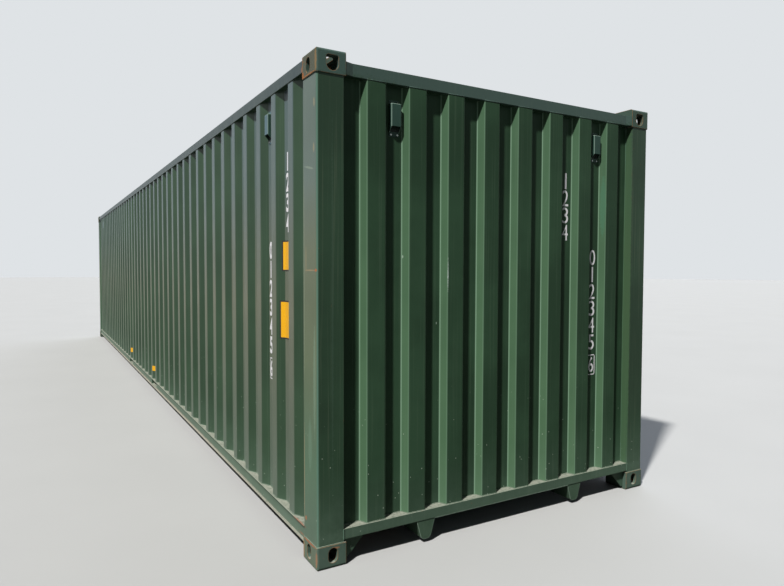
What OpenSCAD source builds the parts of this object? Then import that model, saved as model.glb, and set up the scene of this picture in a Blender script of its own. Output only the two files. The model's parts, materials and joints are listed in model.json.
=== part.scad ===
// Forty-foot dry freight container, doors closed.
// Millimetres. +X is the blind front end, -X the door end, +Z is up.
// The origin is on the ground under the middle of the box.

/* [Overall size] */
// Length over the corner castings
body_l = 12192; // [6058:1:13716]
// Width over the corner castings
body_w = 2438; // [2300:1:2600]
// Height over the corner castings
body_h = 2591; // [2400:1:2900]

/* [Corner castings] */
// Size of a casting along the length
cast_l = 178; // [170:1:190]
// Size of a casting across the width
cast_w = 162; // [155:1:175]
// Height of a casting
cast_h = 118; // [112:1:125]
// Radius of the outer edges
cast_r = 14; // [6:1:16]
// Wall behind the end and side openings
cast_wall = 20; // [14:1:24]
// Wall behind the top or bottom opening
cast_face = 28; // [22:1:32]
// Wall on the closed inner sides
cast_back = 11; // [8:1:14]
// Top and bottom opening, distance of its centre from the end face
lock_in_l = 103.5; // [100:0.5:106]
// Top and bottom opening, distance of its centre from the side face
lock_in_w = 89.5; // [80:0.5:95]
// Length of a top or bottom opening
lock_slot_l = 124; // [110:1:126]
// Width of a top or bottom opening
lock_slot_w = 63.5; // [50:0.5:70]
// End opening, distance of its centre from the side face
end_hole_in = 89; // [80:1:95]
// Side opening, distance of its centre from the end face
side_hole_in = 101.5; // [90:0.5:110]
// Distance of the opening centres from the outer top or bottom face
hole_up = 65; // [62:0.5:68]
// Width of the upright bottom openings and the top side opening
oval_w = 51; // [44:1:60]
// Height of the upright openings
oval_h = 76; // [66:1:80]
// Width of the shield opening in the end face of a top casting
shield_w = 66; // [56:1:70]
// Corner radius at the head of the shield opening
shield_r = 12; // [6:1:16]

/* [Corner posts] */
// Set-back of the posts behind the casting faces
post_inset = 5; // [2:0.5:10]
// Plate thickness of the posts
post_t = 6; // [4:0.5:10]
// Radius of the outer post corner
post_r = 14; // [8:1:25]
// Width of a front post seen from the end
front_post_w = 146; // [120:1:150]
// Width of a rear post seen from the doors
rear_post_w = 62; // [50:1:90]

/* [End frames] */
// Height of the front sill
sill_h = 53; // [40:1:70]
// Depth of the front sill
sill_d = 80; // [75:1:100]
// Top of the front sill above the ground
sill_top = 184; // [176:1:200]
// Wall of the tube rails
tube_t = 4; // [3:0.5:6]
// Height of the front top rail
head_h = 64; // [50:1:80]
// Depth of the front top rail
head_d = 60; // [56:1:80]
// Top of the end rails below the casting tops
head_drop = 47; // [40:1:60]
// Set-back of the front top rail behind the castings
head_inset = 16; // [10:1:18]
// Length of the splayed cheek at each end of that rail
cheek_l = 44; // [30:1:60]
// Set-back of the outer edge of a cheek
cheek_inset = 1; // [0.5:0.5:4]
// Height of the corner gusset under the front sill
gusset_h = 111; // [80:1:112]
// Width of the corner gusset at the sill
gusset_w = 125; // [90:1:160]
// Width of the corner gusset at its foot
gusset_foot = 17; // [10:1:30]
// Set-back of the corner gusset
gusset_inset = 30; // [15:1:50]
// Thickness of the corner gusset
gusset_t = 8; // [6:1:12]

/* [Side rails] */
// Bottom of the lower side rail above the ground
rail_low = 86; // [60:1:95]
// Top of the lower side rail above the ground
rail_high = 170; // [165:1:180]
// Set-back of the rail lips
rail_lip = 2; // [0:0.5:6]
// Set-back of the rail web
rail_web = 16; // [8:1:24]
// Thickness of the rail web and flanges
rail_t = 4.5; // [3:0.5:6]
// Inner edge of the upper flange from the side face
rail_inner = 68; // [62:1:69]
// Size of the square upper side rail
top_tube = 60; // [50:1:62]
// Set-back of the upper side rail
top_inset = 8; // [4:1:10]
// Top of the upper side rail below the casting tops
top_drop = 15; // [8:1:25]
// Wall of the upper side rail
top_t = 3; // [2:0.5:5]

/* [Front wall] */
// Thickness of the front sheet
front_t = 2; // [1.5:0.1:3]
// Depth of the front corrugation
front_depth = 45.6; // [36:0.1:48]
// Width of a raised face
front_crest = 105; // [90:1:115]
// Width of a sloping face
front_slope = 23; // [16:1:28]
// Pitch of the front corrugation
front_pitch = 252; // [240:1:262]
// Number of raised faces
front_count = 8; // [6:1:8]
// Set-back of the raised faces behind the castings
front_inset = 16; // [16:1:26]

/* [Side walls] */
// Thickness of the side sheet
side_t = 2; // [1.5:0.1:3]
// Depth of the side corrugation
side_depth = 36; // [30:1:38]
// Width of a raised face
side_crest = 72; // [60:1:80]
// Width of a sloping face
side_slope = 68; // [50:1:72]
// Pitch of the side corrugation
side_pitch = 282.7; // [270:0.1:300]
// Centre of the first raised face behind the front end
side_first = 386; // [330:1:450]
// Shortest flat left at the door end
side_margin = 90; // [60:1:200]
// Set-back of the raised faces behind the castings
side_inset = 12; // [11:1:16]

/* [Roof] */
// Thickness of the roof sheet
roof_t = 2; // [1.5:0.1:3]
// Height of the roof corrugation
roof_depth = 20; // [12:1:24]
// Width of a raised roof face
roof_crest = 91; // [70:1:100]
// Width of a sloping roof face
roof_slope = 13.5; // [10:0.5:20]
// Pitch of the roof corrugation
roof_pitch = 209; // [200:1:240]
// Shortest flat left at each end of the ribbed roof
roof_flat = 180; // [60:1:300]
// Distance of the front roof edge behind the casting faces
roof_inset_front = 40; // [30:1:60]
// Distance of the rear roof edge behind the face of the door header
roof_lap = 60; // [30:1:80]

/* [Floor] */
// Thickness of the floor
floor_t = 28; // [18:1:32]
// Gap around the floor
floor_gap = 2; // [1:0.5:5]
// Pitch of the cross members
cross_pitch = 305; // [250:1:450]
// Flange width of a cross member
cross_w = 45; // [35:1:60]
// Plate thickness of a cross member
cross_t = 4; // [3:0.5:6]
// Length of the recess for a gooseneck chassis
tunnel_l = 3150; // [2400:1:3300]
// Clear width between the tunnel beams
tunnel_w = 1018; // [960:1:1100]
// Width of a tunnel beam at its top
beam_w = 118; // [90:1:140]
// Width of a tunnel beam at its foot
beam_foot = 56; // [40:1:80]
// Height of a tunnel beam
beam_h = 109; // [90:1:112]
// Plate thickness of a tunnel beam
beam_t = 6; // [4:0.5:8]
// Radius at the foot of a tunnel beam
beam_r = 12; // [8:1:16]
// Thickness of the tunnel deck
deck_t = 4; // [3:0.5:6]
// Distance between the fork pocket centres
pocket_span = 2050; // [1800:1:2100]
// Outside width of a fork pocket
pocket_w = 368; // [300:1:400]
// Wall of a fork pocket
pocket_t = 4; // [3:0.5:6]

/* [Doors] */
// Set-back of the door faces behind the castings
door_inset = 70; // [66:1:80]
// Thickness of a door
door_d = 50; // [44:1:60]
// Width of the seal gap around a door
door_gap = 8; // [5:0.5:12]
// Width of the door stiles
stile_w = 100; // [80:1:130]
// Height of the top and bottom members of a door
member_h = 120; // [90:1:160]
// Wall of the door stiles and members
frame_t = 3.5; // [2.5:0.5:5]
// Thickness of the door sheet
panel_t = 2; // [1.5:0.1:3]
// Depth of the door corrugation
panel_depth = 36; // [24:1:38]
// Height of a raised door face
panel_crest = 120; // [100:1:150]
// Height of a sloping door face
panel_slope = 40; // [20:1:60]
// Pitch of the door corrugation
panel_pitch = 330; // [300:1:340]
// Set-back of the end frame face behind the castings
frame_inset = 60; // [56:1:64]
// Depth of the door header and door sill
frame_d = 100; // [90:1:110]
// Height of the door header
header_h = 114; // [100:1:140]
// Height of the door sill
door_sill_h = 100; // [80:1:120]
// Depth of the door seal
seal_d = 20; // [12:1:30]

/* [Door gear] */
// Outside diameter of a lock rod
rod_d = 34; // [27:0.5:34]
// Wall of a lock rod
rod_t = 4; // [3:0.5:5]
// Distance of the rod axis behind the casting faces
rod_inset = 42; // [40:0.5:42.5]
// Distance of the inner rods from the middle
rod_inner = 290; // [250:1:330]
// Distance of the outer rods from the middle
rod_outer = 900; // [850:1:960]
// Reach of a rod past the door edge
rod_reach = 62; // [50:1:70]
// Play between round fits
round_gap = 0.3; // [0.2:0.05:0.8]
// Height of a rod guide
guide_h = 40; // [30:1:60]
// Wall around the rod in guides and hubs
guide_t = 6; // [4:0.5:7]
// Thickness of a guide foot
foot_t = 4; // [3:0.5:6]
// Length of a handle from its rod
handle_l = 470; // [380:1:520]
// Height of the handle bar
handle_w = 30; // [20:1:40]
// Thickness of the handle bar
handle_t = 9; // [6:0.5:10]
// Height of a rod hub
hub_h = 60; // [45:1:80]
// Number of hinges on a door
hinge_count = 4; // [3:1:5]
// Diameter of a hinge pin
pin_d = 16; // [12:0.5:18]
// Diameter of a hinge knuckle
knuckle_d = 28; // [24:0.5:28]
// Height of a hinge knuckle
knuckle_h = 70; // [50:1:100]
// Height of a hinge lug
lug_h = 16; // [10:1:24]
// Length of a hinge strap on the door
strap_l = 96; // [60:1:140]
// Thickness of a hinge strap
strap_t = 8; // [6:0.5:10]

/* [Vents] */
// Width of a vent
vent_w = 60; // [46:1:70]
// Height of the vent hood at the wall
vent_h = 148; // [130:1:180]
// Height of the front of the hood
vent_face_h = 110; // [80:1:116]
// Depth of a vent
vent_d = 31; // [24:1:33]
// Fall of the hood roof
vent_fall = 5; // [2:1:10]
// Wall of a vent
vent_t = 2.5; // [1.5:0.5:4]
// Height of the fixing tabs
vent_tab = 22; // [14:1:30]
// Top of the front vents below the top of the box
front_vent_drop = 206; // [170:1:260]
// Top of the side vents below the top of the box
side_vent_drop = 161; // [140:1:260]
// Number of whole pitches from the end of a side wall to its vent
vent_step = 2; // [1:1:4]

/* [Hidden] */
$fn = 48;
eps = 1;
green = "#3f5b4a";
dark_green = "#37503f";
steel = "#8d9290";
rubber = "#22262a";
timber = "#7a5a3c";
x_end = body_l / 2;
y_side = body_w / 2;
x_cast = x_end - cast_l;
y_cast = y_side - cast_w;
post_h = body_h - 2 * cast_h;
post_l = cast_l - post_inset;
y_front = y_side - post_inset - front_post_w;
head_top = body_h - head_drop;
head_low = head_top - head_h;
sill_low = sill_top - sill_h;
top_rail_high = body_h - top_drop;
top_rail_low = top_rail_high - top_tube;
web_in = rail_web + rail_t;
cross_top = rail_high - rail_t;
tunnel_x = x_end - tunnel_l;
side_ridge_w = side_crest + 2 * side_slope;
side_start = x_end - side_first;
side_count = floor((side_start + x_cast - side_margin - side_ridge_w / 2) / side_pitch) + 1;
roof_count = floor((2 * x_cast - 2 * roof_flat - roof_crest - 2 * roof_slope) / roof_pitch) + 1;
frame_x = -x_end + frame_inset;
door_x = -x_end + door_inset;
door_open_y = y_side - post_inset - rear_post_w;
door_sill_top = rail_high;
header_low = head_top - header_h;
door_low = door_sill_top + door_gap;
door_high = header_low - door_gap;
door_h = door_high - door_low;
door_edge = door_open_y - door_gap;
door_w = door_edge - door_gap / 2;
rod_x = -x_end + rod_inset;
panel_low = door_low + member_h;
panel_high = door_high - member_h;
panel_margin = 40;
panel_ridge = panel_crest + 2 * panel_slope;
panel_count = floor((panel_high - panel_low - 2 * panel_margin - panel_ridge) / panel_pitch) + 1;
panel_centres = [for (i = [0 : panel_count - 1])
    (panel_low + panel_high) / 2 + (i - (panel_count - 1) / 2) * panel_pitch];
handle_step = ceil(panel_count / 2) - 1;
handle_low = panel_centres[handle_step];
handle_high = panel_centres[handle_step + 1];
cam_h = 26;
cam_y = 34;
cam_x = 12;
jaw_gap = 0.5;
jaw_w = 12;
jaw_h = 44;
rod_low = door_low - rod_reach;
rod_high = door_high + rod_reach;
cross_step_low = -x_end + frame_inset + frame_d + cross_w;
knuckle_back = 2;
knuckle_gap = 1;
pin_x = door_x - knuckle_d / 2 - knuckle_back;
pin_y = door_open_y - knuckle_d / 2 - knuckle_gap;
catch_w = 26;
catch_lip = 8;
catch_in = 53;
catch_gap = 1;
handle_seat = 1;
foot_reach = 22;
beam_front_gap = 3;

// Flat shapes

module round_corner(w, h, r) {
    translate([r, 0]) square([w - r, h]);
    translate([0, r]) square([w, h - r]);
    translate([r, r]) circle(r);
}

module slot_shape(l, w) {
    square([l - w, w], center = true);
    for (side = [-1, 1])
        translate([side * (l - w) / 2, 0]) circle(d = w);
}

module shield_shape(w, h, r) {
    translate([0, -(h - w) / 2]) circle(d = w);
    translate([-w / 2, -(h - w) / 2]) square([w, h - w / 2 - r]);
    translate([-w / 2 + r, 0]) square([w - 2 * r, h / 2]);
    for (side = [-1, 1])
        translate([side * (w / 2 - r), h / 2 - r]) circle(r);
}

// One ridge of a corrugated sheet, as points along the sheet and in depth
function ridge(centre, crest, slope, top, bottom, shift) = [
    [centre - crest / 2 - slope + shift, bottom],
    [centre - crest / 2 + shift, top],
    [centre + crest / 2 - shift, top],
    [centre + crest / 2 + slope - shift, bottom]
];

function flatten(lists) = [for (list = lists) for (item = list) item];

function reversed(list) = [for (i = [len(list) - 1 : -1 : 0]) list[i]];

// Outline of a corrugated sheet of even thickness; depth 0 is the raised face
function sheet_outline(from, to, centres, crest, slope, depth, t) =
    let (shift = t * tan(atan2(depth, slope) / 2))
    let (outer = flatten([for (c = centres) ridge(c, crest, slope, 0, depth, 0)]))
    let (inner = flatten([for (c = centres) ridge(c, crest, slope, t, depth + t, shift)]))
    concat([[from, depth]], outer, [[to, depth], [to, depth + t]], reversed(inner), [[from, depth + t]]);

module tube_box(x0, y0, z0, size, t, axis) {
    hole = [for (i = [0 : 2]) i == axis ? size[i] + 2 * eps : size[i] - 2 * t];
    start = [for (i = [0 : 2]) i == axis ? -eps : t];
    translate([x0, y0, z0]) difference() {
        cube(size);
        translate(start) cube(hole);
    }
}

module both_sides() {
    children();
    mirror([0, 1, 0]) children();
}

// Corner castings, drawn at a corner and turned into place

module casting_block() {
    intersection() {
        linear_extrude(cast_h) round_corner(cast_l, cast_w, cast_r);
        translate([0, cast_w, 0]) rotate([90, 0, 0])
            linear_extrude(cast_w) round_corner(cast_l, cast_h, cast_r);
        rotate([90, 0, 90]) linear_extrude(cast_l) round_corner(cast_w, cast_h, cast_r);
    }
}

module corner_casting(is_top) {
    side_cut = cast_wall + cast_back;
    difference() {
        casting_block();
        translate([cast_wall, cast_wall, cast_face])
            cube([cast_l - side_cut, cast_w - side_cut, cast_h - cast_face - cast_back]);
        translate([lock_in_l, lock_in_w, -eps])
            linear_extrude(cast_face + 2 * eps) slot_shape(lock_slot_l, lock_slot_w);
        translate([-eps, end_hole_in, hole_up]) rotate([90, 0, 90]) linear_extrude(cast_wall + 2 * eps)
            if (is_top) rotate(180) shield_shape(shield_w, oval_h, shield_r);
            else rotate(90) slot_shape(oval_h, oval_w);
        translate([side_hole_in, cast_wall + eps, hole_up]) rotate([90, 0, 0])
            linear_extrude(cast_wall + 2 * eps) rotate(90) slot_shape(oval_h, oval_w);
    }
}

module place_casting(x_sign, y_sign, is_top) {
    color(green)
    translate([x_sign * x_end, y_sign * y_side, is_top ? body_h : 0])
        mirror([x_sign > 0 ? 1 : 0, 0, 0])
        mirror([0, y_sign > 0 ? 1 : 0, 0])
        mirror([0, 0, is_top ? 1 : 0])
        corner_casting(is_top);
}

// Posts, drawn with their outer corner at the origin

module post_shape(l, w) {
    difference() {
        round_corner(l, w, post_r);
        translate([post_t, post_t]) round_corner(l - 2 * post_t, w - 2 * post_t, post_r - post_t);
    }
}

module rear_post(w) {
    translate([post_inset - x_end, post_inset - y_side, cast_h])
        linear_extrude(post_h) post_shape(post_l, w);
}

module posts_front() {
    color(green) both_sides() mirror([1, 0, 0]) rear_post(front_post_w);
}

module posts_rear() {
    color(green) both_sides() rear_post(rear_post_w);
}

// End frames

module front_sill() {
    color(green)
    tube_box(x_end - post_inset - sill_d, -y_front, sill_low, [sill_d, 2 * y_front, sill_h], tube_t, 1);
}

module head_cheek() {
    x_face = x_end - head_inset;
    linear_extrude(head_h) polygon([
        [x_face - head_d, y_cast - cheek_l], [x_face, y_cast - cheek_l],
        [x_end - cheek_inset, y_cast], [x_face - head_d, y_cast]
    ]);
}

module front_top_rail() {
    rail_y = y_cast - cheek_l;
    color(green) union() {
        tube_box(x_end - head_inset - head_d, -rail_y, head_low, [head_d, 2 * rail_y, head_h], tube_t, 1);
        translate([0, 0, head_low]) both_sides() head_cheek();
    }
}

module sill_gussets() {
    color(green)
    both_sides()
        translate([x_end - gusset_inset, 0, 0]) rotate([90, 0, -90]) linear_extrude(gusset_t) polygon([
            [-y_cast, sill_low], [-y_cast + gusset_w, sill_low],
            [-y_cast + gusset_foot, sill_low - gusset_h], [-y_cast, sill_low - gusset_h]
        ]);
}

module door_sill() {
    low = door_sill_top - door_sill_h;
    color(green)
    tube_box(frame_x, -y_cast, low, [frame_d, 2 * y_cast, door_sill_h], tube_t, 1);
}

module door_header() {
    color(green)
    tube_box(frame_x, -y_cast, header_low, [frame_d, 2 * y_cast, header_h], tube_t, 1);
}

// Fillers between a door end member, a casting and a rear post
module door_corner_blocks() {
    width = door_open_y - y_cast;
    sill_rise = door_sill_top - cast_h;
    header_fall = body_h - cast_h - header_low;
    color(green) both_sides() {
        tube_box(frame_x, y_cast, cast_h, [frame_d, width, sill_rise], tube_t, 1);
        tube_box(frame_x, y_cast, header_low, [frame_d, width, header_fall], tube_t, 1);
    }
}

// Side rails

module bottom_rail() {
    y_lip = -y_side + rail_lip;
    web_y = -y_side + rail_web;
    color(green) difference() {
        translate([-x_cast, 0, 0]) rotate([90, 0, 90]) linear_extrude(2 * x_cast) polygon([
            [y_lip, rail_low], [web_y + rail_t, rail_low],
            [web_y + rail_t, rail_high - rail_t], [-y_side + rail_inner, rail_high - rail_t],
            [-y_side + rail_inner, rail_high], [y_lip, rail_high],
            [y_lip, rail_high - rail_t], [web_y, rail_high - rail_t],
            [web_y, rail_low + rail_t], [y_lip, rail_low + rail_t]
        ]);
        for (side = [-1, 1])
            translate([side * pocket_span / 2 - pocket_w / 2, web_y - eps, rail_low + rail_t])
                cube([pocket_w, rail_t + 2 * eps, rail_high - rail_low - 2 * rail_t]);
    }
}

module top_rails() {
    color(green) both_sides()
    tube_box(-x_cast, -y_side + top_inset, top_rail_low, [2 * x_cast, top_tube, top_tube], top_t, 0);
}

// Walls and roof

module front_wall() {
    centres = [for (i = [0 : front_count - 1]) (i - (front_count - 1) / 2) * front_pitch];
    outline = sheet_outline(-y_front, y_front, centres, front_crest, front_slope, front_depth, front_t);
    x_face = x_end - front_inset;
    color(green) difference() {
        translate([0, 0, sill_top]) linear_extrude(head_low - sill_top)
            polygon([for (p = outline) [x_face - p[1], p[0]]]);
        both_sides() translate([x_cast, y_cast, body_h - cast_h]) cube([cast_l, cast_w, cast_h]);
    }
}

module side_wall() {
    centres = [for (i = [side_count - 1 : -1 : 0]) side_start - i * side_pitch];
    outline = sheet_outline(-x_cast, x_cast, centres, side_crest, side_slope, side_depth, side_t);
    y_face = -y_side + side_inset;
    color(green)
    translate([0, 0, rail_high]) linear_extrude(top_rail_low - rail_high)
        polygon([for (p = outline) [p[0], y_face + p[1]]]);
}

module roof() {
    centres = [for (i = [0 : roof_count - 1]) (i - (roof_count - 1) / 2) * roof_pitch];
    outline = sheet_outline(-x_cast, x_cast, centres, roof_crest, roof_slope, roof_depth, roof_t);
    z_face = head_top + roof_depth + roof_t;
    half = y_side - top_inset - top_tube;
    color(green)
    rotate([90, 0, 0]) linear_extrude(2 * half, center = true)
        polygon([for (p = outline) [p[0], z_face - p[1]]]);
}

// Flat plates that carry the roof on over the end rails, between the castings
module roof_end_plates() {
    back = frame_x + roof_lap;
    front = x_end - roof_inset_front;
    color(green) {
        translate([back, -y_cast, head_top]) cube([-x_cast - back, 2 * y_cast, roof_t]);
        translate([x_cast, -y_cast, head_top]) cube([front - x_cast, 2 * y_cast, roof_t]);
    }
}

// Floor and base

module floor() {
    half = y_side - rail_inner - floor_gap;
    back = frame_x + frame_d + floor_gap;
    shoulder = x_cast - floor_gap;
    front = x_end - post_inset - sill_d - floor_gap;
    tongue = y_cast - floor_gap;
    color(timber)
    translate([0, 0, cross_top]) linear_extrude(floor_t) polygon([
        [back, -half], [shoulder, -half], [shoulder, -tongue], [front, -tongue],
        [front, tongue], [shoulder, tongue], [shoulder, half], [back, half]
    ]);
}

// Channel across the box, its back towards the doors
module channel(x, low, high) {
    web_y = y_side - web_in;
    translate([x, 0, 0]) rotate([90, 0, 0]) linear_extrude(2 * web_y, center = true) polygon([
        [0, low], [cross_w, low], [cross_w, low + cross_t], [cross_t, low + cross_t],
        [cross_t, high - cross_t], [cross_w, high - cross_t], [cross_w, high], [0, high]
    ]);
}

function clears_pockets(x) =
    abs(abs(x + cross_w / 2) - pocket_span / 2) > (pocket_w + cross_w) / 2 + cross_t;

module cross_members() {
    last = tunnel_x - cross_w;
    count = floor((last - cross_step_low) / cross_pitch) + 1;
    color(dark_green)
    for (i = [0 : count - 1])
        let (x = last - i * cross_pitch)
        if (clears_pockets(x)) channel(x, rail_low, cross_top);
}

module tunnel_bows() {
    room = x_end - post_inset - sill_d - tunnel_x - 2 * cross_w;
    count = floor(room / cross_pitch) + 1;
    color(dark_green)
    for (i = [0 : count - 1])
        channel(tunnel_x + cross_w + i * cross_pitch, sill_low, cross_top);
}

module beam_shape(inset) {
    slant = (beam_w - beam_foot) / 2;
    low = sill_low - beam_h + inset;
    top = sill_low - inset;
    mid = tunnel_w / 2 + beam_w / 2;
    r = beam_r - inset;
    side = inset * beam_h / sqrt(beam_h * beam_h + slant * slant);
    polygon([
        [mid - beam_w / 2 + side, top], [mid + beam_w / 2 - side, top],
        [mid + beam_foot / 2 - side + slant * r / beam_h, low + r],
        [mid + beam_foot / 2 - r, low], [mid - beam_foot / 2 + r, low],
        [mid - beam_foot / 2 + side - slant * r / beam_h, low + r]
    ]);
}

module tunnel_beams() {
    length = x_end - post_inset - beam_front_gap - tunnel_x;
    color(green) both_sides()
        translate([tunnel_x, 0, 0]) rotate([90, 0, 90]) difference() {
            linear_extrude(length) beam_shape(0);
            translate([0, 0, -eps]) linear_extrude(length - beam_t + eps) beam_shape(beam_t);
        }
}

module tunnel_deck() {
    front = x_end - post_inset;
    color(dark_green)
    translate([tunnel_x, -tunnel_w / 2, sill_low - deck_t]) cube([front - tunnel_x, tunnel_w, deck_t]);
}

module fork_pockets() {
    low = rail_low + rail_t;
    mouth = y_side - rail_web;
    color(dark_green)
    for (side = [-1, 1])
        tube_box(side * pocket_span / 2 - pocket_w / 2, -mouth, low,
                 [pocket_w, 2 * mouth, cross_top - low], pocket_t, 1);
}

// Doors, drawn on the -Y side

module door_frame() {
    width = door_w - 2 * stile_w;
    color(green)
    translate([door_x, -door_edge, door_low]) difference() {
        cube([door_d, door_w, door_h]);
        translate([-eps, stile_w, member_h]) cube([door_d + 2 * eps, width, door_h - 2 * member_h]);
        for (y = [0, door_w - stile_w])
            translate([frame_t, y + frame_t, -eps])
                cube([door_d - 2 * frame_t, stile_w - 2 * frame_t, door_h + 2 * eps]);
        for (z = [0, door_h - member_h])
            translate([frame_t, stile_w, z + frame_t]) cube([door_d, width, member_h - 2 * frame_t]);
    }
}

module door_panel() {
    width = door_w - 2 * stile_w;
    outline = sheet_outline(panel_low, panel_high, panel_centres,
                            panel_crest, panel_slope, panel_depth, panel_t);
    color(green)
    translate([0, -door_edge + stile_w + width, 0]) rotate([90, 0, 0])
        linear_extrude(width) polygon([for (p = outline) [door_x + p[1], p[0]]]);
}

module door_seal() {
    x_seal = door_x + (door_d - seal_d) / 2;
    color(rubber) difference() {
        translate([x_seal, -door_open_y, door_sill_top])
            cube([seal_d, door_open_y, header_low - door_sill_top]);
        translate([x_seal - eps, -door_edge, door_low]) cube([seal_d + 2 * eps, door_w, door_h]);
    }
}

module door_seals() {
    union() {
        door_seal();
        mirror([0, 1, 0]) door_seal();
    }
}

module lock_rod(y) {
    length = rod_high - rod_low;
    translate([rod_x, y, 0]) union() {
        translate([0, 0, rod_low]) difference() {
            cylinder(d = rod_d, h = length);
            translate([0, 0, cam_h]) cylinder(d = rod_d - 2 * rod_t, h = length - 2 * cam_h);
        }
        for (z = [rod_low, rod_high - cam_h])
            translate([-cam_x / 2, -cam_y, z]) cube([cam_x, 2 * cam_y, cam_h]);
    }
}

module lock_rods() {
    color(steel)
    for (y = [-rod_outer, -rod_inner, rod_inner, rod_outer]) lock_rod(y);
}

module rod_guide(y, z) {
    reach = door_x - rod_x;
    hole = rod_d + 2 * round_gap;
    ring = hole + 2 * guide_t;
    foot_y = ring / 2 + foot_reach;
    translate([rod_x, y, z - guide_h / 2]) difference() {
        union() {
            cylinder(d = min(ring, 2 * reach), h = guide_h);
            translate([0, -hole / 2 - guide_t / 2, 0]) cube([reach, hole + guide_t, guide_h]);
            translate([reach - foot_t, -foot_y, 0]) cube([foot_t, 2 * foot_y, guide_h]);
        }
        translate([0, 0, -eps]) cylinder(d = hole, h = guide_h + 2 * eps);
    }
}

module rod_guides() {
    heights = [door_low + member_h / 2, panel_centres[handle_step - 1],
               panel_centres[handle_step + 2], door_high - member_h / 2];
    color(dark_green)
    for (y = [-rod_outer, -rod_inner, rod_inner, rod_outer], z = heights) rod_guide(y, z);
}

// Keeper on the end frame: two jaws that hold the cam of a rod
module lock_keeper(y, cam_middle) {
    translate([rod_x - cam_x, y, cam_middle]) for (side = [-1, 1])
        translate([0, side * (cam_y + jaw_gap + jaw_w / 2) - jaw_w / 2, -jaw_h / 2])
            cube([frame_x - rod_x + cam_x, jaw_w, jaw_h]);
}

module lock_keepers() {
    color(dark_green)
    for (y = [-rod_outer, -rod_inner, rod_inner, rod_outer]) {
        lock_keeper(y, rod_low + cam_h / 2);
        lock_keeper(y, rod_high - cam_h / 2);
    }
}

module door_handle(y, z, dir) {
    hole = rod_d + 2 * round_gap;
    hub = hole + 2 * guide_t;
    bar_y = dir > 0 ? -hub / 2 : hub / 2 - handle_l;
    color(steel)
    translate([rod_x, y, z]) difference() {
        union() {
            translate([0, 0, -hub_h / 2]) cylinder(d = hub, h = hub_h);
            translate([-hub / 2, -hub / 4, -hub_h / 4]) cube([hub / 4, hub / 2, hub_h / 2]);
            translate([-hub / 2 - handle_t + handle_seat, bar_y, -handle_w / 2])
                cube([handle_t, handle_l, handle_w]);
        }
        translate([0, 0, -hub_h / 2 - eps]) cylinder(d = hole, h = hub_h + 2 * eps);
    }
}

module door_handles() {
    both_sides() {
        door_handle(-rod_outer, handle_low, 1);
        door_handle(-rod_inner, handle_high, -1);
    }
}

// Catch on a door that carries the free end of a handle
module handle_catch(y, z) {
    hub = rod_d + 2 * round_gap + 2 * guide_t;
    bar_x = rod_x - hub / 2 + handle_seat;
    low = z - handle_w / 2 - catch_lip;
    color(dark_green)
    translate([0, y - catch_w / 2, 0]) union() {
        translate([bar_x, 0, low]) cube([door_x - bar_x, catch_w, handle_w + 2 * catch_lip]);
        translate([bar_x - handle_t - catch_gap, 0, low]) cube([handle_t + catch_gap, catch_w, catch_lip]);
    }
}

module handle_catches() {
    reach = handle_l - catch_w / 2 - catch_in;
    both_sides() {
        handle_catch(-rod_outer + reach, handle_low);
        handle_catch(-rod_inner - reach, handle_high);
    }
}

function hinge_z(i) = door_low + member_h + i * (door_h - 2 * member_h) / (hinge_count - 1);

module hinge_lug_pair(z) {
    span = knuckle_h / 2 + knuckle_gap;
    translate([pin_x, -pin_y, z]) {
        cylinder(d = pin_d, h = 2 * (span + lug_h), center = true);
        for (side = [-1, 1])
            translate([0, 0, side * (span + lug_h / 2)]) union() {
                cylinder(d = knuckle_d, h = lug_h, center = true);
                translate([-knuckle_d / 2, pin_y - door_open_y, -lug_h / 2])
                    cube([knuckle_d, door_open_y - pin_y, lug_h]);
            }
    }
}

module hinge_lugs() {
    color(dark_green) both_sides()
        for (i = [0 : hinge_count - 1])
            union() hinge_lug_pair(hinge_z(i));
}

module hinge_strap(z) {
    reach = knuckle_d / 2 + knuckle_back;
    translate([pin_x, -pin_y, z]) difference() {
        union() {
            cylinder(d = knuckle_d, h = knuckle_h, center = true);
            translate([0, 0, -knuckle_h / 2]) cube([reach, knuckle_d / 2, knuckle_h]);
            translate([reach - strap_t, 0, -knuckle_h / 2]) cube([strap_t, strap_l, knuckle_h]);
        }
        cylinder(d = pin_d + 2 * round_gap, h = knuckle_h + 2 * eps, center = true);
    }
}

module hinge_straps() {
    color(dark_green) both_sides()
        for (i = [0 : hinge_count - 1]) hinge_strap(hinge_z(i));
}

// Vent hood, drawn with its back on the plane y = 0, its mouth slanting down to the wall
module vent_hood() {
    difference() {
        union() {
            rotate([90, 0, 90]) linear_extrude(vent_w, center = true) polygon([
                [0, -vent_h], [0, 0], [-vent_d, -vent_fall], [-vent_d, -vent_face_h]
            ]);
            translate([-vent_w / 2, -vent_t, -vent_h - vent_tab])
                cube([vent_w, vent_t, vent_h + 2 * vent_tab]);
        }
        rotate([90, 0, 90]) linear_extrude(vent_w - 2 * vent_t, center = true) polygon([
            [-vent_t, -vent_h - eps], [-vent_t, -vent_t - vent_fall / 2],
            [vent_t - vent_d, -vent_t - vent_fall], [vent_t - vent_d, -vent_h - eps]
        ]);
    }
}

module wall_vents() {
    x_trough = x_end - front_inset - front_depth;
    y_trough = y_side - side_inset - side_depth;
    front_y = (front_count / 2 - 1) * front_pitch;
    front_x = side_start - (vent_step - 0.5) * side_pitch;
    rear_x = side_start - (side_count - 1 - vent_step + 0.5) * side_pitch;
    color(dark_green) {
        for (side = [-1, 1])
            translate([x_trough, side * front_y, body_h - front_vent_drop]) rotate(90) vent_hood();
        both_sides() for (x = [front_x, rear_x])
            translate([x, -y_trough, body_h - side_vent_drop]) vent_hood();
    }
}

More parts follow.
